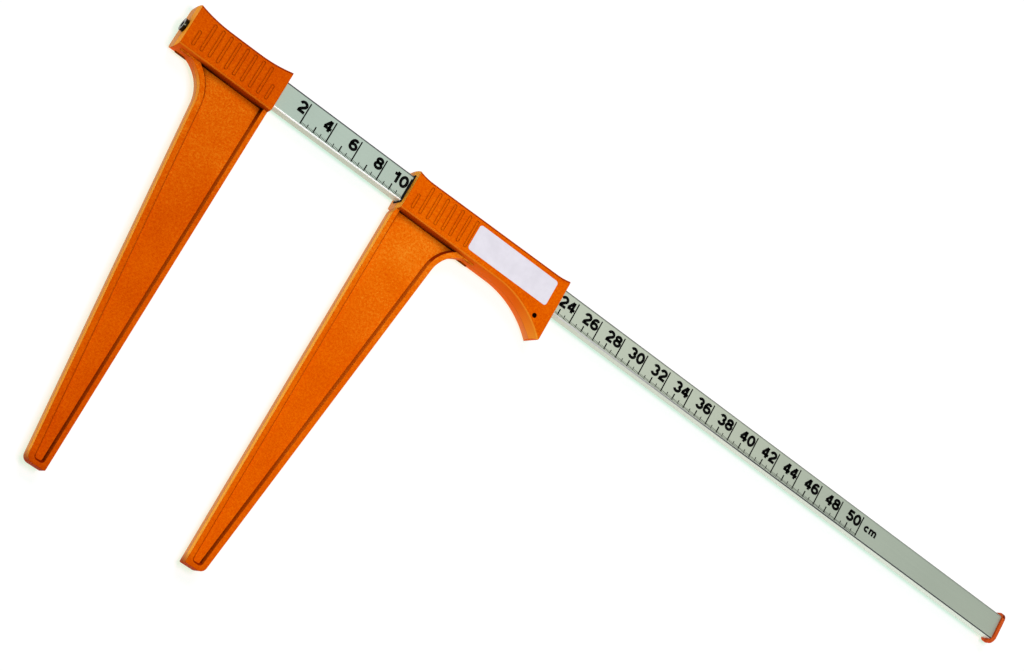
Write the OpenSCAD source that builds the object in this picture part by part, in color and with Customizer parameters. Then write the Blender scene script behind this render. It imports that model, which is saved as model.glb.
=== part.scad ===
// Large sliding-jaw caliper, millimetres, lying on its back with +Z up.
// Everything is drawn in the scale's own frame: X runs along the beam from the zero mark, Y across
// the beam away from the blades, Z out of the scale face, with Y = Z = 0 on the beam's axis.
// placed() then moves it so that the origin is the middle of the bounding box's underside.

/* [Beam] */
// Length of the beam from the zero mark to its free end
beam_reach = 635.5; // [560:0.5:700]
// Length of the beam held inside the fixed jaw
beam_grip = 65; // [55:0.5:66]
// Height of the beam section, across the scale
beam_h = 18.2; // [17:0.1:19]
// Thickness of the beam section
beam_t = 9.5; // [8.5:0.1:10.5]
// Radius of the beam's long edges
beam_edge_r = 1; // [0.5:0.1:1.5]
// Wall of the hollow beam
beam_wall = 1.4; // [1:0.1:1.8]
// Wall round the beam's screw port
port_wall = 1.3; // [1:0.1:1.6]

/* [Housings] */
// Thickness of both housings, front face to back face
housing_t = 21; // [19:0.5:24]
// Length of the fixed jaw's housing
fixed_len = 69; // [68:0.5:80]
// Length of the sliding sleeve
sleeve_len = 123.8; // [122:0.2:135]
// Material above the beam at the lowest point of the fixed jaw's saddle
saddle_wall = 2; // [1.8:0.1:3]
// Material below the beam down to the underside of the housings
under_wall = 5; // [4:0.1:6]
// Height of the crown along the top and the underside
crown_h = 0.9; // [0.5:0.1:1.5]
// Radius of the long front and back edges
edge_r = 2; // [1:0.1:2.5]
// Radius of the cove between a housing and its blade
cove_r = 1.6; // [0.5:0.1:2.5]
// Radius of the upsweep at each end of the fixed jaw's saddle
saddle_r = 95; // [85:1:120]
// Level stretch of the fixed jaw's saddle
saddle_flat = 22; // [16:1:30]

/* [Sleeve back] */
// Material above the beam at the lowest point of the sleeve's back
back_wall = 2.3; // [2.2:0.1:3]
// How much higher the sleeve's back is by the far end's upsweep
back_rise = 0.9; // [0.3:0.1:1.2]
// Radius of the upsweep at the reading edge
lip_r = 38; // [34:1:45]
// Length of that upsweep
lip_len = 11; // [9:0.5:12]
// Radius of the upsweep at the far end
heel_r = 42; // [36:1:50]
// Length of that upsweep
heel_len = 10; // [8:0.5:12]

/* [Blades] */
// Reach of the blades below the underside of the beam
jaw_reach = 260.8; // [220:0.2:280]
// Thickness of the blade rims
blade_t = 10; // [9:0.1:11]
// Thickness of the web between the rims
web_t = 4.6; // [3.5:0.1:6]
// Width of a blade at its tip
tip_w = 13.2; // [12:0.1:16]
// Width of a blade where it leaves the housing
root_w = 43.3; // [40:0.1:46]
// Rim along the measuring face
rim_face = 3; // [2.5:0.1:4]
// Rim along the tapered edge
rim_back = 3.5; // [2.5:0.1:4.5]
// Rim across the tip
rim_tip = 2.8; // [2:0.1:4]
// How far a recess wall leans in on its way down to the web
rim_lean = 1.4; // [0.8:0.1:2]
// Radius of the recess corners at the tip
recess_r = 2.6; // [1.8:0.1:3.2]
// Radius of the tip's corner on the measuring side
tip_face_r = 0.8; // [0.5:0.1:2.5]
// Radius of the tip's corner on the tapered side
tip_back_r = 4.5; // [3:0.1:6]
// Radius between the fixed blade and its housing
fixed_neck_r = 24.7; // [20:0.1:26]
// Radius between the sliding blade and its sleeve
slide_neck_r = 22.5; // [18:0.1:25]
// How far the sleeve's reading edge stands back from its measuring face
set_back = 1; // [0.5:0.1:2]
// Length over which the blade steps out from the reading edge to that face
step_run = 4; // [2:0.5:6]

/* [Hook] */
// Radius of the finger arch
arch_r = 65; // [60:0.5:70]
// Distance from the arch's highest point to the sleeve's far end
arch_run = 44.3; // [40:0.1:46]
// Depth of the hook below the beam's axis
hook_depth = 30.8; // [28:0.1:33]
// Diameter of the lanyard hole
lanyard_d = 3.3; // [3:0.1:5]
// Distance from the lanyard hole to the sleeve's far end
lanyard_in = 10.7; // [9:0.1:12]
// Distance from the lanyard hole to the beam's axis
lanyard_drop = 19.3; // [18:0.1:20]

/* [Ribs] */
// Width of a grip rib
rib_w = 2.5; // [2:0.1:3]
// Width of the engraved line round a rib
rib_line = 0.6; // [0.4:0.05:0.8]
// Depth of the engraved line
rib_depth = 0.4; // [0.2:0.05:0.6]
// Spacing of the ribs
rib_pitch = 6.1; // [5.5:0.05:6.3]
// Length of a long rib
rib_long = 19.4; // [16:0.1:20]
// Length of a short rib
rib_short = 10.6; // [8:0.1:12]
// Distance from the beam's axis to the lower ends of the ribs
rib_drop = 10.8; // [10:0.1:11.2]
// Long ribs on the fixed jaw
fixed_ribs = 8; // [4:1:8]
// Long ribs on the sleeve
sleeve_ribs = 7; // [4:1:7]
// Middle of the fixed jaw's first rib from its outer end
fixed_rib_in = 7; // [6:0.1:8]
// Middle of the sleeve's first rib from the reading edge
sleeve_rib_in = 6.1; // [5.5:0.1:7]

/* [Slide] */
// Opening of the jaws as shown
opening = 101; // [0.3:0.1:500]
// Thickness of the liners that carry the sleeve
liner_t = 0.7; // [0.5:0.05:1]
// Length of each liner
liner_len = 24; // [16:1:30]
// Slot in the back of a liner that lets it spring in
liner_slot = 3; // [2:0.5:5]
// Running clearance between beam and liner
slide_gap = 0.1; // [0.05:0.01:0.15]
// Depth of the spring's pocket above the sleeve's passage
spring_pocket = 0.9; // [0.6:0.1:1]
// Thickness of the drag spring
spring_t = 0.4; // [0.3:0.05:0.5]
// Width of the drag spring
spring_w = 6; // [5:0.5:7]
// Length of the drag spring
spring_len = 50; // [40:1:56]

/* [Label] */
// Length of the label
label_len = 65; // [55:0.5:67]
// Height of the label
label_h = 18; // [15:0.1:18.4]
// Thickness of the label
label_t = 0.15; // [0.1:0.05:0.3]
// Corner radius of the label
label_r = 2; // [1:0.1:3]
// Distance from the label to the sleeve's far end
label_in = 7.5; // [6:0.1:9]
// Distance from the beam's axis to the label's lower edge
label_drop = 10; // [9.5:0.1:10.2]

/* [End stop] */
// Thickness of the end plate
stop_t = 2.4; // [2:0.1:4]
// Height of the end plate
stop_h = 23; // [21:0.1:26]
// Width of the end plate
stop_w = 13.6; // [12.5:0.1:16]
// Corner radius of the end plate
stop_r = 5; // [2:0.1:6]
// Length of the plate's lugs inside the beam
lug_len = 8; // [5:0.5:12]
// Diameter of the button head of the pin that holds the plate
pin_head_d = 5.6; // [5:0.1:7]
// Height of that head
pin_head_h = 2.3; // [1:0.1:2.5]
// Radius round the head's top
pin_round = 1.8; // [0.5:0.1:2]
// Length of the pin under its head
pin_len = 14; // [10:0.5:20]

/* [Screws] */
// Diameter of the screw's thread core, and of the port it cuts into less the fit
core_d = 4.3; // [4:0.1:4.6]
// Diameter of the screw head
head_d = 8.4; // [8:0.1:9]
// Height of the screw head
head_h = 4.3; // [3.5:0.1:6]
// Length of the screw under the head
screw_len = 20; // [16:0.5:30]
// Size of the hexagon socket across its flats
socket_af = 4; // [3:0.1:4.5]
// Depth of the hexagon socket
socket_depth = 2.5; // [1.5:0.1:3]
// Depth that the head is sunk into the moulding
head_sink = 1.9; // [0.5:0.1:2.5]

/* [Hidden] */

$fn = 96;
fit = 0.05;        // clearance of pieces that are pressed or screwed together
past = 1;          // how far a cutter reaches beyond the surface it opens
air = 20;          // height of the cutters that shape the housings
bite = 0.01;       // how far a round cutter cuts into the straights that it runs into
seat_play = 0.2;   // clearance on the diameter of a screw head's seat, and on a pocket's width
hole_play = 0.5;   // clearance on the diameter of a plain hole for a screw

// Stations along X
fixed_face_x = -set_back;                      // measuring face of the fixed jaw
fixed_end_x = fixed_face_x - fixed_len;        // outer end of the fixed jaw
beam_start_x = fixed_face_x - beam_grip;
slide_face_x = opening - set_back;             // measuring face of the sliding jaw
sleeve_x = opening;                            // reading edge
sleeve_end_x = sleeve_x + sleeve_len;
stop_x = beam_reach + stop_t;                  // outer face of the end plate

// Levels along Y and Z
half_t = housing_t / 2;
under_y = -(beam_h / 2 + under_wall);          // underside of both housings
saddle_y = beam_h / 2 + saddle_wall;           // lowest level of the fixed jaw's top edge
back_y = beam_h / 2 + back_wall;               // the same for the sleeve
tip_y = -(beam_h / 2 + jaw_reach);
passage_h = beam_h + 2 * (slide_gap + liner_t + fit);
passage_t = beam_t + 2 * (slide_gap + liner_t + fit);
port_r = core_d / 2 + fit + port_wall;         // outside of the beam's screw port

// The blade narrows at a steady rate from root to tip
taper = (root_w - tip_w) / (under_y - tip_y);
lean = atan(taper);
function blade_w(y) = tip_w + taper * (y - tip_y);

// Extents of the whole caliper
saddle_turn = asin((fixed_len - saddle_flat) / 2 / saddle_r);
saddle_rise = saddle_r * (1 - cos(saddle_turn));
low_x = fixed_end_x - head_h + head_sink;
high_x = stop_x + pin_head_h;
high_y = saddle_y + saddle_rise + crown_h;

module placed() {
    translate([-(low_x + high_x) / 2, -(tip_y + high_y) / 2, half_t]) children();
}

// Both faces of a part that is the same in front and behind
module both_faces() {
    children();
    mirror([0, 0, 1]) children();
}

// Turns a section drawn as [Y, Z] into a bar along X
module along_x(length) {
    rotate([90, 0, 90]) linear_extrude(length) children();
}

// Turns a section drawn as [across, Z] into a bar along Y
module along_y(length) {
    rotate([90, 0, 0]) linear_extrude(length, center = true) children();
}

module rounded_rect(size, r) {
    for (x = [-1, 1], y = [-1, 1]) {
        translate([x * (size.x / 2 - r), y * (size.y / 2 - r)]) circle(r);
    }
    square([size.x - 2 * r, size.y], center = true);
    square([size.x, size.y - 2 * r], center = true);
}

// Section of a housing's long edge, as [height over the edge line, Z]: rounded corners and a crown
module edge_section() {
    flat = half_t - edge_r;
    crown_r = (flat * flat + crown_h * crown_h) / (2 * crown_h);
    translate([-air, -flat]) square([air, 2 * flat]);
    translate([-air, -half_t]) square([air - edge_r, housing_t]);
    for (side = [-1, 1]) translate([-edge_r, side * flat]) circle(edge_r);
    intersection() {
        translate([crown_h - crown_r, 0]) circle(crown_r, $fn = 180);
        translate([-edge_r, -flat]) square([edge_r + crown_h, 2 * flat]);
    }
}

// What a housing leaves free above that edge
module air_section() {
    difference() {
        translate([-edge_r, -half_t - past]) square([air, housing_t + 2 * past]);
        edge_section();
    }
}

// Air above an edge line that starts along +X: a straight stretch, then a bend of the given
// radius and angle that turns up and away from the material
module air_along(length, r, turn) {
    along_x(length) air_section();
    translate([length, r, 0]) rotate(-90) rotate_extrude(angle = turn)
        translate([r, 0]) mirror([1, 0]) air_section();
}

// Middle of the neck radius, where it touches the tapered edge and the housing's underside
function neck_y(r) = under_y - r;
function neck_u(r) = blade_w(neck_y(r)) + r / cos(lean);

// Outline of a blade: the measuring face is at u = 0 and the tapered edge on the +u side
module blade_outline(neck_r) {
    u = neck_u(neck_r);
    y = neck_y(neck_r);
    touch_y = y + neck_r * sin(lean);
    corner_y = tip_y + tip_back_r;
    corner_u = blade_w(corner_y) - tip_back_r / cos(lean);
    difference() {
        union() {
            polygon([
                [0, 0], [0, tip_y + tip_face_r], [tip_face_r, tip_y], [corner_u, tip_y],
                [corner_u + tip_back_r * cos(lean), corner_y - tip_back_r * sin(lean)],
                [u - neck_r * cos(lean), touch_y], [u, touch_y], [u, 0]
            ]);
            translate([tip_face_r, tip_y + tip_face_r]) circle(tip_face_r);
            translate([corner_u, corner_y]) circle(tip_back_r);
        }
        translate([u, y]) circle(neck_r + bite, $fn = 180);
    }
}

// Everything beyond a leaning recess wall, which stands at x = 0 and faces +x
module beyond_wall() {
    along_y(2 * (jaw_reach + root_w)) polygon([
        [0, half_t + past], [0, blade_t / 2], [rim_lean, web_t / 2],
        [jaw_reach, web_t / 2], [jaw_reach, half_t + past]
    ]);
}

// Post that follows the neck radius and keeps its rim out of the recess
module neck_post(r) {
    translate([0, 0, blade_t / 2]) cylinder(h = half_t + past, r = r, $fn = 180);
    translate([0, 0, web_t / 2 - fit])
        cylinder(h = (blade_t - web_t) / 2 + fit, r1 = r + rim_lean, r2 = r, $fn = 180);
}

// Rounds a recess corner between two walls that its cone touches in these directions
module recess_corner(u, y, from, to) {
    depth = (blade_t - web_t) / 2;
    slope = rim_lean / depth;
    a = 2 * recess_r * [cos(from), sin(from)];
    b = 2 * recess_r * [cos(to), sin(to)];
    translate([u, y, web_t / 2 - fit]) difference() {
        linear_extrude(depth + 2 * fit) polygon([[0, 0], a, a + b, b]);
        cylinder(h = depth + 2 * fit, r1 = recess_r + bite - rim_lean - slope * fit,
            r2 = recess_r + bite + slope * fit);
    }
}

// Recess in one face of a blade, up to the housing's underside
module blade_recess(neck_r) {
    u = neck_u(neck_r);
    y = neck_y(neck_r);
    post_r = neck_r + rim_back;
    // The post meets the underside here, and the tapered wall ends where it touches the post
    corner_u = u - sqrt(post_r * post_r - neck_r * neck_r);
    touch_y = y + post_r * sin(lean);
    // Middle of the tip corners
    low_y = tip_y + rim_tip + recess_r;
    low_u = blade_w(low_y) - (rim_back + recess_r) / cos(lean);
    difference() {
        intersection() {
            translate([rim_face, tip_y, 0]) beyond_wall();
            translate([0, tip_y + rim_tip, 0]) rotate(90) beyond_wall();
            union() {
                translate([blade_w(tip_y) - rim_back / cos(lean), tip_y, 0])
                    rotate(180 - lean) beyond_wall();
                translate([0, touch_y, 0]) cube([corner_u, under_y - touch_y, half_t + past]);
            }
            translate([0, tip_y, 0]) cube([root_w * 2, under_y - tip_y, half_t + past]);
        }
        translate([u, y, 0]) neck_post(post_r);
        recess_corner(rim_face + recess_r, low_y, 180, 270);
        recess_corner(low_u, low_y, 270, 360 - lean);
    }
}

// Blade with both recesses and the coves that lead up to the housing
module blade(neck_r) {
    u = neck_u(neck_r);
    difference() {
        union() {
            translate([0, 0, -blade_t / 2]) linear_extrude(blade_t) blade_outline(neck_r);
            both_faces() cove(u);
        }
        both_faces() blade_recess(neck_r);
    }
}

// Cove along the foot of a housing, on the front rim
module cove(length) {
    along_x(length) difference() {
        translate([under_y - cove_r, blade_t / 2 - fit]) square(cove_r + fit);
        translate([under_y - cove_r, blade_t / 2 + cove_r]) circle(cove_r);
    }
}

// Flat-ended slot shape with round ends, standing from y = 0 up
module rib_shape(length, width) {
    r = width / 2;
    translate([-r, r]) square([width, length - width]);
    for (y = [r, length - r]) translate([0, y]) circle(r, $fn = 32);
}

// Engraved line round one grip rib on the front face
module rib_groove(length) {
    translate([0, -rib_drop, half_t - rib_depth]) linear_extrude(rib_depth + past) difference() {
        rib_shape(length, rib_w);
        translate([0, rib_line]) rib_shape(length - 2 * rib_line, rib_w - 2 * rib_line);
    }
}

module screw_head_seat(x) {
    translate([x, 0, 0]) rotate([0, 90, 0]) {
        translate([0, 0, -past]) cylinder(h = head_sink + past, d = head_d + seat_play);
        cylinder(h = fixed_len - beam_grip + past, d = core_d + hole_play);
    }
}

// Socket-head screw with its axis along +X, the underside of its head at x = 0
module socket_screw() {
    difference() {
        rotate([0, 90, 0]) {
            cylinder(h = screw_len, d = core_d);
            translate([0, 0, -head_h]) cylinder(h = head_h, d = head_d);
        }
        translate([-head_h - past, 0, 0]) rotate([0, 90, 0])
            cylinder(h = socket_depth + past, d = socket_af / cos(30), $fn = 6);
    }
}

module beam_section() {
    difference() {
        rounded_rect([beam_h, beam_t], beam_edge_r);
        difference() {
            rounded_rect([beam_h - 2 * beam_wall, beam_t - 2 * beam_wall], beam_edge_r / 2);
            circle(port_r);
        }
        circle(core_d / 2 + fit);
    }
}

module beam() {
    color("darkseagreen") placed() translate([beam_start_x, 0, 0])
        along_x(beam_reach - beam_start_x) beam_section();
}

module fixed_housing() {
    difference() {
        translate([fixed_end_x, under_y - crown_h, -half_t])
            cube([fixed_len, high_y - under_y + crown_h, housing_t]);
        // Top edge: a level saddle that sweeps up at both ends
        translate([(fixed_end_x + fixed_face_x) / 2, saddle_y, 0]) {
            air_along(saddle_flat / 2, saddle_r, saddle_turn + past);
            mirror([1, 0, 0]) air_along(saddle_flat / 2, saddle_r, saddle_turn + past);
        }
        translate([fixed_end_x - past, under_y, 0]) mirror([0, 1, 0])
            along_x(fixed_len + 2 * past) air_section();
    }
}

module fixed_jaw() {
    color("orangered") placed() difference() {
        union() {
            fixed_housing();
            intersection() {
                translate([fixed_face_x, 0, 0]) mirror([1, 0, 0]) blade(fixed_neck_r);
                translate([fixed_end_x, tip_y, -half_t])
                    cube([fixed_len, jaw_reach + beam_h, housing_t]);
            }
        }
        // Pocket for the beam, and the screw that holds it
        translate([beam_start_x - fit, 0, 0]) along_x(beam_grip + past)
            square([beam_h + 2 * fit, beam_t + 2 * fit], center = true);
        screw_head_seat(fixed_end_x);
        both_faces() for (i = [0 : fixed_ribs + 1]) {
            translate([fixed_end_x + fixed_rib_in + i * rib_pitch, 0, 0])
                rib_groove(i == 0 || i == fixed_ribs + 1 ? rib_short : rib_long);
        }
    }
}

module jaw_screw() {
    color("dimgray") placed() translate([fixed_end_x + head_sink, 0, 0]) socket_screw();
}

// Sleeve with its crowned back, plain underside and finger arch
module sleeve_housing() {
    flat = sleeve_len - lip_len - heel_len;
    slope = asin(back_rise / flat);
    arch_x = sleeve_end_x - arch_run;
    difference() {
        translate([sleeve_x, -hook_depth, -half_t])
            cube([sleeve_len, hook_depth + high_y, housing_t]);
        translate([sleeve_x + lip_len + flat / 2, back_y + back_rise / 2, 0]) rotate(slope) {
            air_along(flat / 2, heel_r, asin(heel_len / heel_r) + past);
            mirror([1, 0, 0]) air_along(flat / 2, lip_r, asin(lip_len / lip_r) + 2 * past);
        }
        translate([sleeve_x - past, under_y, 0]) mirror([0, 1, 0])
            air_along(arch_x - sleeve_x + past, arch_r, asin(arch_run / arch_r) + past);
    }
}

module sliding_jaw() {
    color("darkorange") placed() difference() {
        union() {
            sleeve_housing();
            translate([slide_face_x, 0, 0]) intersection() {
                blade(slide_neck_r);
                slide_blade_limit();
            }
        }
        // Passage for the beam and its liners
        translate([sleeve_x - set_back - past, 0, 0]) along_x(sleeve_len + set_back + 2 * past)
            square([passage_h, passage_t], center = true);
        spring_seat();
        translate([sleeve_end_x - lanyard_in, -lanyard_drop, -half_t - past])
            cylinder(h = housing_t + 2 * past, d = lanyard_d);
        both_faces() for (i = [0 : sleeve_ribs]) {
            translate([sleeve_x + sleeve_rib_in + i * rib_pitch, 0, 0])
                rib_groove(i == 0 ? rib_short : rib_long);
        }
    }
}

// The blade steps out from the reading edge to the measuring face only below the sleeve
module slide_blade_limit() {
    translate([0, 0, -half_t]) linear_extrude(housing_t) polygon([
        [0, tip_y], [0, under_y - step_run], [set_back, under_y], [set_back, 0],
        [sleeve_len, 0], [sleeve_len, tip_y]
    ]);
}

module liner(x) {
    color("black") placed() translate([x, 0, 0]) difference() {
        along_x(liner_len) square([passage_h - 2 * fit, passage_t - 2 * fit], center = true);
        translate([-past, 0, 0]) along_x(liner_len + 2 * past)
            square([beam_h + 2 * slide_gap, beam_t + 2 * slide_gap], center = true);
        translate([-past, -liner_slot / 2, -passage_t]) cube([liner_len + 2 * past, liner_slot, passage_t]);
    }
}

module front_liner() {
    liner(sleeve_x);
}

module rear_liner() {
    liner(sleeve_end_x - liner_len);
}

// Middle of the stretch between the liners, where the drag spring works
spring_x = sleeve_x + sleeve_len / 2;
spring_top = passage_h / 2 + spring_pocket;
spring_low = beam_h / 2 + slide_gap;
spring_bow = spring_top - spring_low - spring_t;
spring_r = (spring_len * spring_len / 4 + spring_bow * spring_bow) / (2 * spring_bow);

module spring_seat() {
    translate([spring_x - spring_len / 2 - past, 0, -(spring_w + seat_play) / 2])
        cube([spring_len + 2 * past, spring_top, spring_w + seat_play]);
}

// Bowed leaf: its ends bear on the sleeve and its middle on the beam
module drag_spring() {
    color("silver") placed() translate([spring_x, spring_low + spring_r, 0]) intersection() {
        difference() {
            cylinder(h = spring_w, r = spring_r, center = true, $fn = 360);
            cylinder(h = spring_w + past, r = spring_r - spring_t, center = true, $fn = 360);
        }
        translate([-spring_len / 2 + past / 2, -spring_r - past, -spring_w])
            cube([spring_len - past, spring_r / 2, 2 * spring_w]);
    }
}

module label() {
    x = sleeve_end_x - label_in - label_len / 2;
    color("lavender") placed() translate([x, label_h / 2 - label_drop, half_t])
        linear_extrude(label_t) rounded_rect([label_len, label_h], label_r);
}

// Plate on the beam's end, with lugs that keep it from turning
module end_stop() {
    lug_z = beam_t - 2 * beam_wall - beam_edge_r - seat_play;
    lug_in = port_r + seat_play / 2;
    lug_out = (beam_h - seat_play) / 2 - beam_wall;
    color("tomato") placed() difference() {
        union() {
            translate([beam_reach, 0, 0]) along_x(stop_t) rounded_rect([stop_h, stop_w], stop_r);
            for (side = [-1, 1]) {
                translate([beam_reach - lug_len, side * (lug_out + lug_in) / 2, 0])
                    along_x(lug_len) square([lug_out - lug_in, lug_z], center = true);
            }
        }
        translate([beam_reach - past, 0, 0]) rotate([0, 90, 0])
            cylinder(h = stop_t + 2 * past, d = core_d + hole_play);
    }
}

// Push-in pin whose button head bears on the plate: a flat top in a full quarter round
module end_stop_screw() {
    color("tomato") placed() translate([stop_x, 0, 0]) rotate([0, 90, 0]) rotate_extrude() {
        translate([0, -pin_len]) square([core_d / 2, pin_len]);
        square([pin_head_d / 2 - pin_round, pin_head_h]);
        square([pin_head_d / 2, pin_head_h - pin_round]);
        intersection() {
            translate([pin_head_d / 2 - pin_round, pin_head_h - pin_round]) circle(pin_round);
            square([pin_head_d / 2, pin_head_h]);
        }
    }
}

beam();
fixed_jaw();
jaw_screw();
sliding_jaw();
front_liner();
rear_liner();
drag_spring();
label();
end_stop();
end_stop_screw();
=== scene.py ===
import math

import bmesh
import bpy
from mathutils import Matrix, Vector


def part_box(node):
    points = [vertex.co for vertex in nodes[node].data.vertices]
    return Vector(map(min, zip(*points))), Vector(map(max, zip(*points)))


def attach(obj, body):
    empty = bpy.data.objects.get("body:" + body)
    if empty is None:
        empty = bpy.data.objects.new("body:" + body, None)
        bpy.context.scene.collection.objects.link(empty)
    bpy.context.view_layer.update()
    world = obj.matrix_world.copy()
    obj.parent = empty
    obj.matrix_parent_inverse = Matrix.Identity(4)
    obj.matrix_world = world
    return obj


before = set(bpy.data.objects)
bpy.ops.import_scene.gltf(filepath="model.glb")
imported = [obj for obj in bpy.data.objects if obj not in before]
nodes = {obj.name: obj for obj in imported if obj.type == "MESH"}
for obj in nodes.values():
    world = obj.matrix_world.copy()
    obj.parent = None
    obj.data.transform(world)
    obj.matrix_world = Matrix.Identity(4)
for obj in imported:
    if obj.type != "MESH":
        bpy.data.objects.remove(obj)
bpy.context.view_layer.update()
MM = 0.001

# Datum: zero mark on the beam's scale face, set back from the fixed jaw's measuring face
SET_BACK = 1 * MM
beam_low, beam_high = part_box("beam")
jaw_low, jaw_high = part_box("fixed_jaw")
zero = Vector((jaw_high.x + SET_BACK, (beam_low.y + beam_high.y) / 2, beam_high.z))
mid_z = (beam_low.z + beam_high.z) / 2


def on_scale(x, y, z):
    """A place given in metres from the scale's zero mark."""
    return zero + Vector((x, y, z))


def srgb(red, green, blue):
    """A colour given as it looks on screen, 0 to 255, as the linear values that Blender wants."""
    def linear(value):
        value /= 255
        return value / 12.92 if value <= 0.04045 else ((value + 0.055) / 1.055) ** 2.4
    return (linear(red), linear(green), linear(blue), 1.0)


def add_node(tree, kind, inputs=None, **settings):
    """A node with its settings. Each input is a value, or a socket that it is linked from."""
    made = tree.nodes.new(kind)
    for key, value in settings.items():
        setattr(made, key, value)
    for key, value in (inputs or {}).items():
        if isinstance(value, bpy.types.NodeSocket):
            tree.links.new(value, made.inputs[key])
        else:
            made.inputs[key].default_value = value
    return made


def mix_colours(tree, factor, first, second):
    """First where the factor is 0, second where it is 1."""
    colours = {"Factor": factor, 6: first, 7: second}    # 6 and 7 are the Mix node's colours
    return add_node(tree, "ShaderNodeMix", colours, data_type="RGBA").outputs[2]


class Finish:
    """A material with its Principled shader, and short ways to add nodes to it."""

    def __init__(self, name, **constants):
        self.material = bpy.data.materials.new(name)
        self.material.use_nodes = True
        self.tree = self.material.node_tree
        self.shader = self.tree.nodes["Principled BSDF"]
        for socket, value in constants.items():
            self.shader.inputs[socket.replace("_", " ")].default_value = value
        where = self.node("ShaderNodeTexCoord").outputs
        self.place = where["Object"]
        self.normal = self.node("ShaderNodeSeparateXYZ", {"Vector": where["Normal"]}).outputs
        self.at = self.node("ShaderNodeSeparateXYZ", {"Vector": self.place}).outputs

    def node(self, kind, inputs=None, **settings):
        return add_node(self.tree, kind, inputs, **settings)

    def noise(self, scale, detail, roughness, per_axis=None):
        """Noise with about `scale` grains to the metre, times `per_axis` where that is given."""
        vector = self.place
        if per_axis:
            vector = self.node("ShaderNodeMapping", {"Vector": vector, "Scale": per_axis}).outputs[0]
        made = self.node("ShaderNodeTexNoise", {
            "Vector": vector, "Scale": scale, "Detail": detail, "Roughness": roughness})
        return made.outputs["Fac"]

    def span(self, value, low, high, to_low=0.0, to_high=1.0):
        """The value carried from low..high to to_low..to_high, and held there beyond both ends."""
        made = self.node("ShaderNodeMapRange", {
            "Value": value, "From Min": low, "From Max": high, "To Min": to_low, "To Max": to_high})
        return made.outputs["Result"]

    def math(self, operation, first, second=0.0):
        return self.node("ShaderNodeMath", {0: first, 1: second}, operation=operation).outputs[0]

    def weighted_sum(self, *parts):
        """The sum of (value, weight) parts."""
        weighted = [self.math("MULTIPLY", value, weight) for value, weight in parts]
        total = weighted[0]
        for part in weighted[1:]:
            total = self.math("ADD", total, part)
        return total

    def ramp(self, value, stops):
        made = self.node("ShaderNodeValToRGB", {"Fac": value})
        points = made.color_ramp.elements
        while len(points) < len(stops):
            points.new(1.0)
        for point, (position, colour) in zip(points, stops):
            point.position = position
            point.color = colour
        return made.outputs["Color"]

    def blend(self, factor, first, second):
        return mix_colours(self.tree, factor, first, second)

    def tint(self, colour, over, amount, strength=1.0):
        """The colour with another laid over it where the amount is 1, at most at a strength."""
        if strength < 1:
            amount = self.math("MULTIPLY", amount, strength)
        return self.blend(amount, colour, over)

    def upright(self, low, high):
        """1 on faces that stand upright, 0 on those that lie flat."""
        return self.span(self.math("ABSOLUTE", self.normal["Z"]), low, high, 1.0, 0.0)

    def openness(self, reach):
        """Low deep in a corner or groove of the piece, 1 where it is open, felt over a reach."""
        made = self.node("ShaderNodeAmbientOcclusion", {"Distance": reach}, samples=8,
                         only_local=True)
        return made.outputs["AO"]

    def band(self, value, middle, half, soft):
        """1 within `half` of `middle`, falling to 0 over `soft` more."""
        away = self.math("ABSOLUTE", self.math("SUBTRACT", value, middle))
        return self.span(away, half, half + soft, 1.0, 0.0)

    def connect(self, value, socket):
        self.tree.links.new(value, self.shader.inputs[socket])

    def relief(self, layers, edge=0.0):
        """Bump from (height, depth in metres) layers, over edges softened by a radius."""
        normal = None
        if edge:
            normal = self.node("ShaderNodeBevel", {"Radius": edge}, samples=4).outputs["Normal"]
        for height, depth in layers:
            bump = self.node("ShaderNodeBump", {"Height": height, "Strength": 1.0, "Distance": depth})
            if normal:
                self.tree.links.new(normal, bump.inputs["Normal"])
            normal = bump.outputs["Normal"]
        self.connect(normal, "Normal")


# Moulded plastics: grains to the metre, depths, and how far round a corner its shade is felt
GRAIN, FLECKS, CLOUD = 1500, 620, 32
GRAIN_DEPTH = 0.05 * MM
CORNER_REACH = 16 * MM
MOULD_EDGE = 0.6 * MM
PARTING_HALF, PARTING_SOFT, PARTING_DEPTH = 0.1 * MM, 0.25 * MM, 0.08 * MM
FOOT_SHADE_SOFT = 0.4 * MM
TIP_SHADE_FULL, TIP_SHADE_END = 1 * MM, 7 * MM
# The engraving lies within a skin of the housings' faces, and the webs lie deeper than that
FACE_SKIN, SKIN_SOFT = 1.2 * MM, 0.8 * MM
# How far from the beam the webs start to turn paler, and to take a painted shadow, and where each is
# full
PALE_START, PALE_FULL = 110 * MM, 50 * MM
SHADOW_START, SHADOW_FULL = 40 * MM, 25 * MM


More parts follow.
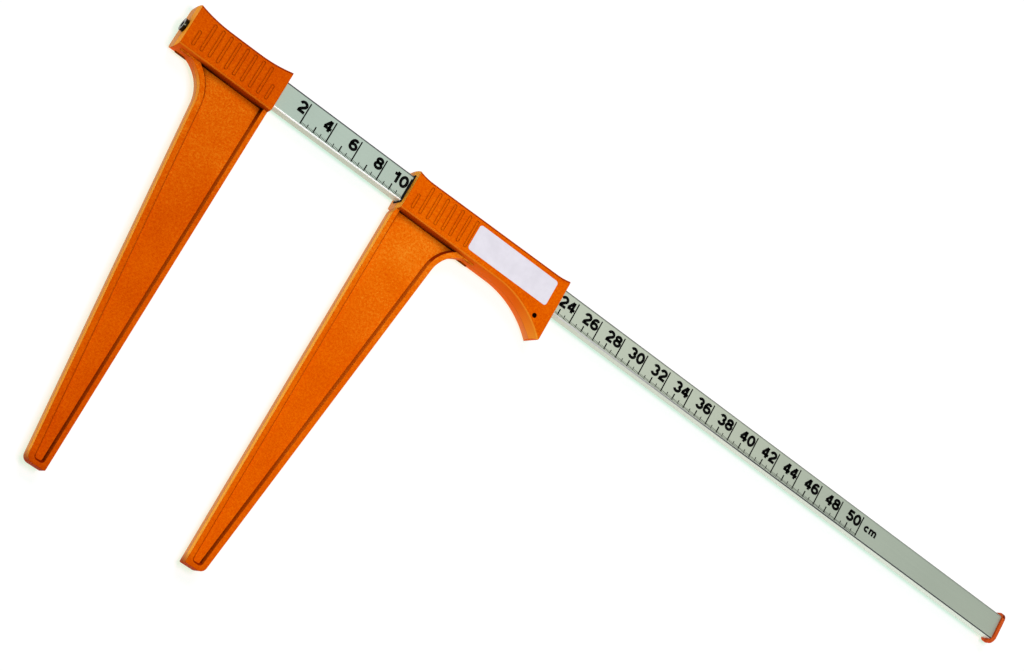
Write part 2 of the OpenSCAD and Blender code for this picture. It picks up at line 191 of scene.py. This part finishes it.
def grained_and_shaded_flats(finish, tone, mottle, openness):
    """The mouldings' level faces: engraved housings with painted shade in the lines, and webs paler
    near the housings, with painted shadow at their foot.
    """
    flats = finish.ramp(mottle, [(0.38, tone["deep"]), (0.5, tone["base"]), (0.64, tone["pale"])])
    # Painted shade in the engraved lines, where the face is hemmed in: only the housings' faces are
    # engraved, not the webs below them
    skin_z = jaw_high.z - FACE_SKIN
    below = finish.span(finish.at["Z"], skin_z - SKIN_SOFT, skin_z, 1.0, 0.0)
    plain = finish.math("MAXIMUM", finish.span(openness, 0.3, 0.55), below)
    flats = finish.blend(plain, tone["groove"], flats)
    # The webs are paler near the housings
    near = finish.span(finish.at["Y"], beam_low.y - PALE_START, beam_low.y - PALE_FULL, 0.0, 0.65)
    paler_flats = finish.ramp(mottle, [(0.38, tone["base"]), (0.5, tone["pale"]), (0.68, tone["wall"])])
    flats = finish.blend(finish.math("MULTIPLY", below, near), flats, paler_flats)
    # Painted shadow along the foot of the housing's wall, where it falls on the web
    beside = finish.span(finish.at["Y"], beam_low.y - SHADOW_START, beam_low.y - SHADOW_FULL)
    elsewhere = finish.math("SUBTRACT", 1.0, finish.math("MULTIPLY", below, beside))
    unshadowed = finish.math("MAXIMUM", finish.span(openness, 0.52, 0.7, 0.35, 1.0), elsewhere)
    return finish.blend(unshadowed, tone["shade_and_seam"], flats)


def lit_and_shaded_walls(finish, tone, grain, openness):
    """The mouldings' upright faces: painted light along the blades, and painted shade below the
    parting line and deep in recesses.
    """
    # Painted light makes the upright walls pale; painted shade and reflection dull their lower half
    shaded_low_half = finish.span(finish.at["Z"], mid_z - FOOT_SHADE_SOFT, mid_z + FOOT_SHADE_SOFT, 1.0, 0.0)
    walls = finish.blend(shaded_low_half, tone["wall"], tone["foot"])
    walls = finish.tint(walls, tone["base"], finish.span(grain, 0.3, 0.7, 0.0, 0.35))
    # Walls across the blades get no painted light and are as dark as the flats, and so are those near
    # a corner
    across = finish.span(finish.math("ABSOLUTE", finish.normal["Y"]), 0.6, 0.95)
    walls = finish.tint(walls, tone["base"], across)
    walls = finish.blend(finish.span(openness, 0.82, 0.97), tone["base"], walls)
    # Painted shade on the walls deep in a recess, but little where they face the beam's far end
    unshaded = finish.math("MAXIMUM", finish.span(openness, 0.5, 0.95),
                        finish.span(finish.normal["X"], 0.2, 0.7, 0.0, 0.8))
    return finish.blend(unshaded, tone["shade_and_seam"], walls)


def moulded_plastic(name, tone):
    """Glass-filled moulding with a mould's parting line half-way up its upright walls.

    Its tones are `deep`, `base` and `pale` for the grain, `wall` for painted light on the upright
    walls and `foot` for painted shade and reflection below their parting line, `groove` for painted
    shade in engraved lines, `rim` for painted shade on back edges and tips, and `shade_and_seam` for
    painted shade in recesses and below the housings, and for the parting line's seam.
    """
    finish = Finish(name, Specular_IOR_Level=0.015, Specular_Tint=srgb(255, 150, 60))
    grain = finish.noise(GRAIN, 3, 0.7)
    flecks = finish.noise(FLECKS, 2, 0.6)
    cloud = finish.noise(CLOUD, 2, 0.5)
    mottle = finish.weighted_sum((grain, 0.5), (flecks, 0.3), (cloud, 0.2))
    openness = finish.openness(CORNER_REACH)
    side = finish.upright(0.55, 0.9)
    colour = finish.blend(side, grained_and_shaded_flats(finish, tone, mottle, openness),
                          lit_and_shaded_walls(finish, tone, grain, openness))
    # Painted shade on the roundings along the back edges
    back_edge_shade = finish.band(finish.normal["Y"], 0.6, 0.32, 0.06)
    colour = finish.tint(colour, tone["rim"], back_edge_shade, 0.85)
    # Painted shade on the tips too, their end walls most of all
    tip = finish.span(finish.at["Y"], jaw_low.y + TIP_SHADE_FULL, jaw_low.y + TIP_SHADE_END, 1.0, 0.0)
    tip_shade = finish.math("MULTIPLY", tip, finish.span(side, 0.0, 1.0, 0.3, 0.8))
    colour = finish.tint(colour, tone["rim"], tip_shade)
    line = finish.band(finish.at["Z"], mid_z, PARTING_HALF, PARTING_SOFT)
    parting = finish.math("MULTIPLY", line, side)
    colour = finish.tint(colour, tone["shade_and_seam"], parting, 0.3)
    finish.connect(colour, "Base Color")
    finish.connect(finish.span(grain, 0.35, 0.65, 0.58, 0.72), "Roughness")
    sunk = finish.math("SUBTRACT", 1.0, parting)
    finish.relief([(grain, GRAIN_DEPTH), (flecks, GRAIN_DEPTH), (sunk, PARTING_DEPTH)], MOULD_EDGE)
    return finish.material


jaw_plastic = moulded_plastic("jaw_plastic", {
    "deep": srgb(200, 68, 0), "base": srgb(217, 84, 0), "pale": srgb(233, 105, 2),
    "wall": srgb(246, 164, 42), "foot": srgb(216, 154, 92),
    "groove": srgb(140, 42, 0), "rim": srgb(140, 34, 0), "shade_and_seam": srgb(40, 12, 0)})
slide_plastic = moulded_plastic("slide_plastic", {
    "deep": srgb(216, 80, 0), "base": srgb(231, 95, 0), "pale": srgb(247, 120, 4),
    "wall": srgb(255, 178, 56), "foot": srgb(214, 150, 92),
    "groove": srgb(176, 62, 0), "rim": srgb(156, 44, 0), "shade_and_seam": srgb(56, 18, 0)})
stop_plastic = moulded_plastic("stop_plastic", {
    "deep": srgb(190, 54, 6), "base": srgb(214, 74, 20), "pale": srgb(236, 106, 46),
    "wall": srgb(226, 112, 50), "foot": srgb(196, 100, 60),
    "groove": srgb(128, 36, 0), "rim": srgb(112, 26, 0), "shade_and_seam": srgb(44, 13, 0)})

# The beam's corners: how wide each shows, and how softly it ends. The front one lies in the top
# of the beam's side, down to a depth.
BACK_CORNER, FRONT_CORNER, UNDER_CORNER = 1.05 * MM, 0.7 * MM, 0.8 * MM
CORNER_SOFT, FRONT_SOFT = 0.2 * MM, 0.15 * MM
FRONT_DEPTH, DEPTH_SOFT = 0.5 * MM, 0.25 * MM
DIE_LINES = (14, 2600, 2600)    # grains to the metre: long along the beam, fine across it


def extruded_alloy():
    """Anodised extrusion: fine die lines along the beam, painted reflection on the sides and painted
    shade on the back edge.
    """
    finish = Finish("beam_alloy", IOR=1.5)
    lines = finish.noise(1.0, 4, 0.6, per_axis=DIE_LINES)
    haze = finish.noise(9, 2, 0.5)
    shade = finish.weighted_sum((lines, 0.4), (haze, 0.6))
    # Painted light and shade along the face: darker and cooler at the fixed jaw, lighter and warmer
    # towards the far end
    along = finish.span(finish.at["X"], zero.x, beam_high.x)
    cool = finish.ramp(shade, [(0.3, srgb(147, 163, 151)), (0.7, srgb(158, 174, 162))])
    warm = finish.ramp(shade, [(0.3, srgb(164, 175, 159)), (0.7, srgb(175, 186, 169))])
    face = finish.blend(along, cool, warm)
    # The middle of the face is paler
    face = finish.tint(face, srgb(194, 199, 178), finish.band(along, 0.5, 0.1, 0.25), 0.5)
    # Painted reflection on the beam's sides, brighter towards the far end
    side = finish.upright(0.35, 0.75)
    flank_reflection = finish.blend(along, srgb(186, 190, 171), srgb(216, 226, 211))
    colour = finish.blend(side, face, flank_reflection)
    # The corners of the section: painted shade on the back one, a painted reflection on the one in
    # front that goes from bright to dark, and a thin line of painted shade underneath
    back_shade = finish.band(finish.at["Y"], beam_high.y, BACK_CORNER, CORNER_SOFT)
    back_shade = finish.math("MULTIPLY", back_shade, finish.span(along, 0.0, 0.8, 0.95, 0.4))
    colour = finish.tint(colour, srgb(30, 36, 38), back_shade)
    front_reflection = finish.band(finish.at["Y"], beam_low.y, FRONT_CORNER, FRONT_SOFT)
    depth_z = beam_high.z - FRONT_DEPTH
    at_top = finish.span(finish.at["Z"], depth_z - DEPTH_SOFT, depth_z)
    front_reflection = finish.math("MULTIPLY", front_reflection, at_top)
    shine = finish.blend(finish.span(along, 0.2, 0.62), srgb(250, 252, 250), srgb(48, 52, 58))
    colour = finish.tint(colour, shine, front_reflection)
    under_shade = finish.band(finish.at["Z"], beam_low.z, UNDER_CORNER, CORNER_SOFT)
    colour = finish.tint(colour, srgb(84, 72, 62), under_shade, 0.85)
    finish.connect(colour, "Base Color")
    finish.connect(finish.span(side, 0.0, 1.0, 0.25, 0.75), "Metallic")
    finish.connect(finish.span(lines, 0.3, 0.7, 0.42, 0.55), "Roughness")
    finish.relief([(lines, 0.01 * MM)])
    return finish.material


beam_alloy = extruded_alloy()

SMALL_EDGE = 0.15 * MM


def speckled(name, colour, second, scale, roughness, depth, **constants):
    """Fine speckle between two near colours, with roughness and relief that follow it."""
    finish = Finish(name, **constants)
    speckle = finish.noise(scale, 3, 0.6)
    finish.connect(finish.ramp(speckle, [(0.35, colour), (0.65, second)]), "Base Color")
    finish.connect(finish.span(speckle, 0.3, 0.7, *roughness), "Roughness")
    finish.relief([(speckle, depth)], SMALL_EDGE)
    return finish.material


screw_steel = speckled("screw_steel", srgb(24, 24, 18), srgb(44, 44, 32), 900,
                       (0.12, 0.24), 0.01 * MM, Metallic=1.0)
liner_plastic = speckled("liner_plastic", srgb(6, 6, 6), srgb(14, 14, 14), 700,
                         (0.6, 0.75), 0.02 * MM, Specular_IOR_Level=0.1)
spring_steel = speckled("spring_steel", srgb(150, 150, 150), srgb(180, 180, 178), 500,
                        (0.25, 0.35), 0.005 * MM, Metallic=1.0)
label_film = speckled("label_film", srgb(229, 225, 235), srgb(236, 232, 242), 120,
                      (0.3, 0.4), 0.01 * MM, Specular_IOR_Level=0.3)
scale_ink = speckled("scale_ink", srgb(1, 1, 1), srgb(6, 7, 6), 1500,
                     (0.6, 0.7), 0.002 * MM, Specular_IOR_Level=0.03)
fine_ink = speckled("fine_ink", srgb(26, 32, 30), srgb(48, 54, 50), 1500,
                    (0.5, 0.6), 0.002 * MM, Specular_IOR_Level=0.1)

FINISHES = {
    "beam": beam_alloy, "fixed_jaw": jaw_plastic, "sliding_jaw": slide_plastic,
    "jaw_screw": screw_steel, "end_stop_screw": stop_plastic, "end_stop": stop_plastic,
    "front_liner": liner_plastic, "rear_liner": liner_plastic, "drag_spring": spring_steel,
    "label": label_film,
}
for name, material in FINISHES.items():
    slots = nodes[name].data.materials
    if not slots:
        slots.append(material)
    for index in range(len(slots)):
        slots[index] = material


def place_piece(mesh, name, body):
    """A piece whose place is in its mesh, riding on a body."""
    mesh.name = name
    piece = bpy.data.objects.new(name, mesh)
    bpy.context.scene.collection.objects.link(piece)
    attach(piece, body)


def piece_of(shape, name, material, body):
    """A piece from a bmesh, with its faces turned outwards."""
    bmesh.ops.recalc_face_normals(shape, faces=shape.faces)
    mesh = bpy.data.meshes.new(name)
    shape.to_mesh(mesh)
    shape.free()
    mesh.materials.append(material)
    place_piece(mesh, name, body)


def join_rings(shape, near, far):
    """Four faces between two rings of four points."""
    for i in range(4):
        j = (i + 1) % 4
        shape.faces.new((near[i], near[j], far[j], far[i]))


# Scale print, in millimetres from the zero mark. Every mark stands on the same foot line.
INK_T = 0.03 * MM
MARK_FOOT = -8.0
FIRST, LAST = 20, 500
MARK_ROWS = (
    # name, how far the end marks stand in from FIRST and LAST, pitch, length, width, ink
    ("scale_marks_even", 0, 20, 14.6, 0.92, scale_ink),
    ("scale_marks_odd", 10, 20, 4.5, 0.92, scale_ink),
    ("scale_marks_half", 5, 10, 2.75, 0.6, scale_ink),
    ("scale_marks_fine", 1, 1, 1.6, 0.36, fine_ink),
)


def mark_row_tree():
    """Geometry Nodes that set `Count` flat marks at a steady pitch along X, each on its foot."""
    tree = bpy.data.node_groups.new("mark_row", "GeometryNodeTree")
    keys = {}
    for label in ("Start", "Pitch", "Length", "Width", "Thickness"):
        keys[label] = tree.interface.new_socket(
            label, in_out="INPUT", socket_type="NodeSocketFloat").identifier
    keys["Count"] = tree.interface.new_socket(
        "Count", in_out="INPUT", socket_type="NodeSocketInt").identifier
    keys["Ink"] = tree.interface.new_socket(
        "Ink", in_out="INPUT", socket_type="NodeSocketMaterial").identifier
    tree.interface.new_socket("Geometry", in_out="OUTPUT", socket_type="NodeSocketGeometry")

    def out(kind, inputs, **settings):
        return add_node(tree, kind, inputs, **settings).outputs[0]

    given = add_node(tree, "NodeGroupInput").outputs
    start = out("ShaderNodeCombineXYZ", {"X": given["Start"]})
    step = out("ShaderNodeCombineXYZ", {"X": given["Pitch"]})
    row = out("GeometryNodeMeshLine", {
        "Count": given["Count"], "Start Location": start, "Offset": step}, mode="OFFSET")
    size = out("ShaderNodeCombineXYZ", {
        "X": given["Width"], "Y": given["Length"], "Z": given["Thickness"]})
    bar = out("GeometryNodeMeshCube", {"Size": size})
    # Half its length up and half its thickness out puts the bar on its foot
    lift = out("ShaderNodeVectorMath", {0: size, 1: (0, 0.5, 0.5)}, operation="MULTIPLY")
    mark = out("GeometryNodeTransform", {"Geometry": bar, "Translation": lift})
    marks = out("GeometryNodeInstanceOnPoints", {"Points": row, "Instance": mark})
    real = out("GeometryNodeRealizeInstances", {"Geometry": marks})
    inked = out("GeometryNodeSetMaterial", {"Geometry": real, "Material": given["Ink"]})
    add_node(tree, "NodeGroupOutput", {"Geometry": inked})
    return tree, keys


def print_marks(tree, keys, name, inset, pitch, length, width, ink):
    """One row of marks, made by the tree and then turned into a plain mesh on the beam."""
    maker = bpy.data.objects.new(name + "_maker", bpy.data.meshes.new(name + "_maker"))
    bpy.context.scene.collection.objects.link(maker)
    row = maker.modifiers.new("marks", "NODES")
    row.node_group = tree
    first, last = FIRST + inset, LAST - inset
    for label, value in (("Start", first * MM), ("Pitch", pitch * MM), ("Length", length * MM),
                         ("Width", width * MM), ("Thickness", INK_T),
                         ("Count", (last - first) // pitch + 1), ("Ink", ink)):
        row[keys[label]] = value
    graph = bpy.context.evaluated_depsgraph_get()
    mesh = bpy.data.meshes.new_from_object(maker.evaluated_get(graph), depsgraph=graph)
    bpy.data.objects.remove(maker)
    mesh.transform(Matrix.Translation(on_scale(0, MARK_FOOT * MM, 0)))
    place_piece(mesh, name, "frame")


mark_row, mark_keys = mark_row_tree()
for row_sizes in MARK_ROWS:
    print_marks(mark_row, mark_keys, *row_sizes)


# Lettering: centre lines of bold strokes in millimetres, on a digit 5.2 wide and 7.4 high. The
# print widens the digits, and sets them back from their mark.
STROKE, ADVANCE, WIDEN = 1.95, 6.4, 1.18
DIGIT_GAP, DIGIT_FOOT = 0.4, -1.8
UNIT_STROKE, UNIT_FOOT, UNIT_AT = 1.5, -1.4, {"c": 3.8, "m": 8.6}


def arc(middle, radii, start, end, steps=14):
    """Points on an ellipse from one angle to another, in degrees."""
    angles = [math.radians(start + (end - start) * i / steps) for i in range(steps + 1)]
    return [(middle[0] + radii[0] * math.cos(a), middle[1] + radii[1] * math.sin(a)) for a in angles]


def loop(middle, radii, steps=28):
    return arc(middle, radii, 0, 360, steps)


GLYPHS = {
    "0": [loop((2.6, 3.7), (1.85, 3.05))],
    "1": [[(1.35, 5.35), (2.5, 5.5), (3.35, 6.15), (3.65, 7.4)], [(3.8, 7.4), (3.8, 0)]],
    "2": [arc((2.6, 5.0), (1.75, 1.75), 175, -35) + [(1.75, 1.95), (1.15, 0.9)],
          [(0.5, 0.62), (4.85, 0.62)]],
    "3": [arc((2.5, 5.25), (1.6, 1.5), 165, -80), arc((2.5, 2.3), (1.85, 1.65), 85, -165)],
    "4": [[(3.55, 0), (3.55, 7.4)], [(3.3, 7.1), (0.65, 2.3)], [(0.3, 2.2), (5.1, 2.2)]],
    "5": [[(4.7, 6.75), (1.2, 6.75)], [(1.65, 7.0), (1.25, 3.4)],
          arc((2.55, 2.5), (1.9, 1.85), 140, -160)],
    "6": [loop((2.6, 2.4), (1.85, 1.75)), arc((2.85, 3.5), (2.1, 3.2), 185, 50)],
    "8": [loop((2.6, 5.4), (1.55, 1.35), 24), loop((2.6, 2.3), (1.85, 1.65))],
    "c": [arc((2.2, 2.1), (1.55, 1.5), 40, 320)],
    "m": [[(0.7, 0), (0.7, 4.2)], arc((1.95, 2.6), (1.25, 1.05), 170, 0) + [(3.2, 0)],
          arc((4.45, 2.6), (1.25, 1.05), 180, 0) + [(5.7, 0)]],
}


def ink_stroke(ink, points, place, stroke):
    """Adds a stroke of the full width along a centre line, as a thin closed film."""
    closed = math.dist(points[0], points[-1]) < 1e-6
    line = [Vector(point) for point in (points[:-1] if closed else points)]
    leaving = [(after - point).normalized() for point, after in zip(line, line[1:] + line[:1])]
    if not closed:
        leaving[-1] = leaving[-2]
    arriving = (leaving[-1:] if closed else leaving[:1]) + leaving[:-1]
    rails = []
    for point, before, after in zip(line, arriving, leaving):
        heading = (before + after).normalized()
        # A corner's points reach further out, up to twice as far
        across = heading.orthogonal() * stroke / 2 / max(heading.dot(before), 0.5)
        ring = []
        for spot, height in ((point - across, INK_T), (point + across, INK_T),
                             (point + across, 0), (point - across, 0)):
            ring.append(ink.verts.new(place @ Vector((spot.x * MM, spot.y * MM, height))))
        rails.append(ring)
    for near, far in zip(rails, rails[1:]):
        join_rings(ink, near, far)
    if closed:
        join_rings(ink, rails[-1], rails[0])
    else:
        ink.faces.new(rails[0][::-1])
        ink.faces.new(rails[-1])


def print_glyphs(name, glyphs, widen, stroke):
    """One piece for (glyph, left end, foot) entries, in millimetres on the scale."""
    ink = bmesh.new()
    for glyph, left, foot in glyphs:
        at = Matrix.Translation(on_scale(left * MM, foot * MM, 0))
        for points in GLYPHS[glyph]:
            ink_stroke(ink, [(x * widen, y) for x, y in points], at, stroke)
    piece_of(ink, name, scale_ink, "frame")


def numerals():
    """The even centimetres, each set against the left of its mark."""
    for mark in range(FIRST, LAST + 1, 20):
        for i, digit in enumerate(reversed(str(mark // 10))):
            yield digit, mark - DIGIT_GAP - (i + 1) * ADVANCE, DIGIT_FOOT


print_glyphs("scale_numbers", numerals(), WIDEN, STROKE)
print_glyphs("scale_unit", [(letter, LAST + left, UNIT_FOOT) for letter, left in UNIT_AT.items()],
             1.0, UNIT_STROKE)


# Black lip of the front liner, which stands out of the sleeve all round the beam; it is partly
# painted shade, standing for the dark gap between beam and sleeve
LIP, LIP_GAP, LIP_ROUND = 0.8 * MM, 0.12 * MM, 0.25 * MM


def liner_lip_and_gap_shade():
    low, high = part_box("front_liner")
    outer = (low.y, high.y, low.z, high.z)
    inner = (beam_low.y - LIP_GAP, beam_high.y + LIP_GAP, beam_low.z - LIP_GAP, beam_high.z + LIP_GAP)
    lip = bmesh.new()
    rings = []
    for x, (left, right, bottom, top) in ((low.x, outer), (low.x - LIP, outer),
                                          (low.x - LIP, inner), (low.x, inner)):
        corners = ((left, bottom), (right, bottom), (right, top), (left, top))
        rings.append([lip.verts.new((x, y, z)) for y, z in corners])
    for near, far in zip(rings, rings[1:] + rings[:1]):
        join_rings(lip, near, far)
    outside = [edge for edge in lip.edges if all(corner in rings[1] for corner in edge.verts)]
    bmesh.ops.bevel(lip, geom=outside, offset=LIP_ROUND, segments=3, profile=0.5, affect="EDGES")
    piece_of(lip, "liner_lip_and_gap_shade", liner_plastic, "slider")


liner_lip_and_gap_shade()


# Floor, light and camera
FLOOR_SIZE = 8.0
FLOOR_DROP = 0.2 * MM
TABLE_GLOW = 1.6
AMBIENT = 0.15
KEY_FOOT = (0.12, -0.12)
KEY_REACH = 0.6
WHITE = (1, 1, 1, 1)
# The lit floor is white: its own glow, and the lamps' light on a colour that is stronger where
# the key lamp is far. In a shadow the glow is left, which is a pale green.
SHADOW_GLOW = (0.55, 0.82, 0.66, 1)
NEAR_COLOUR, FAR_COLOUR = (0.49, 0.21, 0.38, 1), (0.66, 0.29, 0.52, 1)


def seen_ray(tree):
    """1 for what the camera sees, directly, in gloss or through glass, and 0 for other light."""
    rays = add_node(tree, "ShaderNodeLightPath").outputs
    either = add_node(tree, "ShaderNodeMath", {
        0: rays["Is Glossy Ray"], 1: rays["Is Transmission Ray"]}, operation="MAXIMUM").outputs[0]
    return add_node(tree, "ShaderNodeMath", {
        0: rays["Is Camera Ray"], 1: either}, operation="MAXIMUM").outputs[0]


def floor_finish():
    """White where it is seen, with a soft shadow, and an even glow for the rest of the light."""
    finish = bpy.data.materials.new("white_floor")
    finish.use_nodes = True
    tree = finish.node_tree
    tree.nodes.clear()

    def out(kind, inputs, **settings):
        return add_node(tree, kind, inputs, **settings).outputs[0]

    place = add_node(tree, "ShaderNodeTexCoord").outputs["Object"]
    away = add_node(tree, "ShaderNodeVectorMath", {
        0: place, 1: on_scale(*KEY_FOOT, 0)}, operation="DISTANCE").outputs["Value"]
    falling = out("ShaderNodeMapRange", {"Value": away, "From Max": KEY_REACH})
    colour = mix_colours(tree, falling, NEAR_COLOUR, FAR_COLOUR)
    lit = out("ShaderNodeBsdfDiffuse", {"Color": colour})
    glow = out("ShaderNodeEmission", {"Color": SHADOW_GLOW, "Strength": 1.0})
    table = out("ShaderNodeAddShader", {0: lit, 1: glow})
    # Beyond the lamps' reach the floor is plain white
    beyond = out("ShaderNodeMapRange", {
        "Value": away, "From Min": KEY_REACH, "From Max": 1.5 * KEY_REACH})
    white = out("ShaderNodeEmission", {"Color": WHITE, "Strength": 1.0})
    seen = out("ShaderNodeMixShader", {0: beyond, 1: table, 2: white})
    light = out("ShaderNodeEmission", {"Color": WHITE, "Strength": TABLE_GLOW})
    surface = out("ShaderNodeMixShader", {0: seen_ray(tree), 1: light, 2: seen})
    add_node(tree, "ShaderNodeOutputMaterial", {"Surface": surface})
    return finish


def floor():
    mesh = bpy.data.meshes.new("floor")
    height = jaw_low.z - FLOOR_DROP
    sides = ((-1, -1), (1, -1), (1, 1), (-1, 1))
    corners = [(x * FLOOR_SIZE, y * FLOOR_SIZE, height) for x, y in sides]
    mesh.from_pydata(corners, [], [(0, 1, 2, 3)])
    mesh.materials.append(floor_finish())
    plane = bpy.data.objects.new("floor", mesh)
    bpy.context.scene.collection.objects.link(plane)


def softbox(name, place, aim, side, power):
    """A square lamp that is turned to its aim."""
    lamp = bpy.data.lights.new(name, "AREA")
    lamp.shape = "RECTANGLE"
    lamp.size = lamp.size_y = side
    lamp.energy = power
    made = bpy.data.objects.new(name, lamp)
    bpy.context.scene.collection.objects.link(made)
    made.location = place
    made.rotation_euler = (aim - place).to_track_quat("-Z", "Y").to_euler()


def studio():
    """A weak light from all round, which the camera and the gloss see as white."""
    world = bpy.data.worlds.new("studio")
    bpy.context.scene.world = world
    world.use_nodes = True
    tree = world.node_tree
    level = add_node(tree, "ShaderNodeMapRange", {
        "Value": seen_ray(tree), "To Min": AMBIENT, "To Max": 1.0}).outputs["Result"]
    sky = tree.nodes["Background"].inputs
    sky["Color"].default_value = WHITE
    tree.links.new(level, sky["Strength"])


EYE = (-0.3770, -0.4896, 1.4284)


def photo_camera():
    """A long lens high in front of the fixed jaw, rolled so that the beam falls to the right."""
    lens = bpy.data.cameras.new("camera")
    lens.sensor_width = 36
    lens.lens = 89.6
    lens.clip_start = 0.05
    camera = bpy.data.objects.new("camera", lens)
    bpy.context.scene.collection.objects.link(camera)
    right = Vector((0.7512, 0.4744, 0.4590)).normalized()
    ahead = Vector((0.3647, 0.2812, -0.8876)).normalized()
    up = right.cross(ahead).normalized()
    turn = Matrix((right, up, -ahead)).transposed().to_4x4()
    camera.matrix_world = Matrix.Translation(on_scale(*EYE)) @ turn
    bpy.context.scene.camera = camera


floor()
softbox("key", on_scale(*KEY_FOOT, 1.3), on_scale(0.1, -0.08, 0), side=0.35, power=10.5)
softbox("fill", on_scale(-0.45, 1.3, 2.6), on_scale(0.1, 0, 0), side=0.8, power=20)
studio()
photo_camera()
bpy.context.scene.view_settings.view_transform = "Standard"
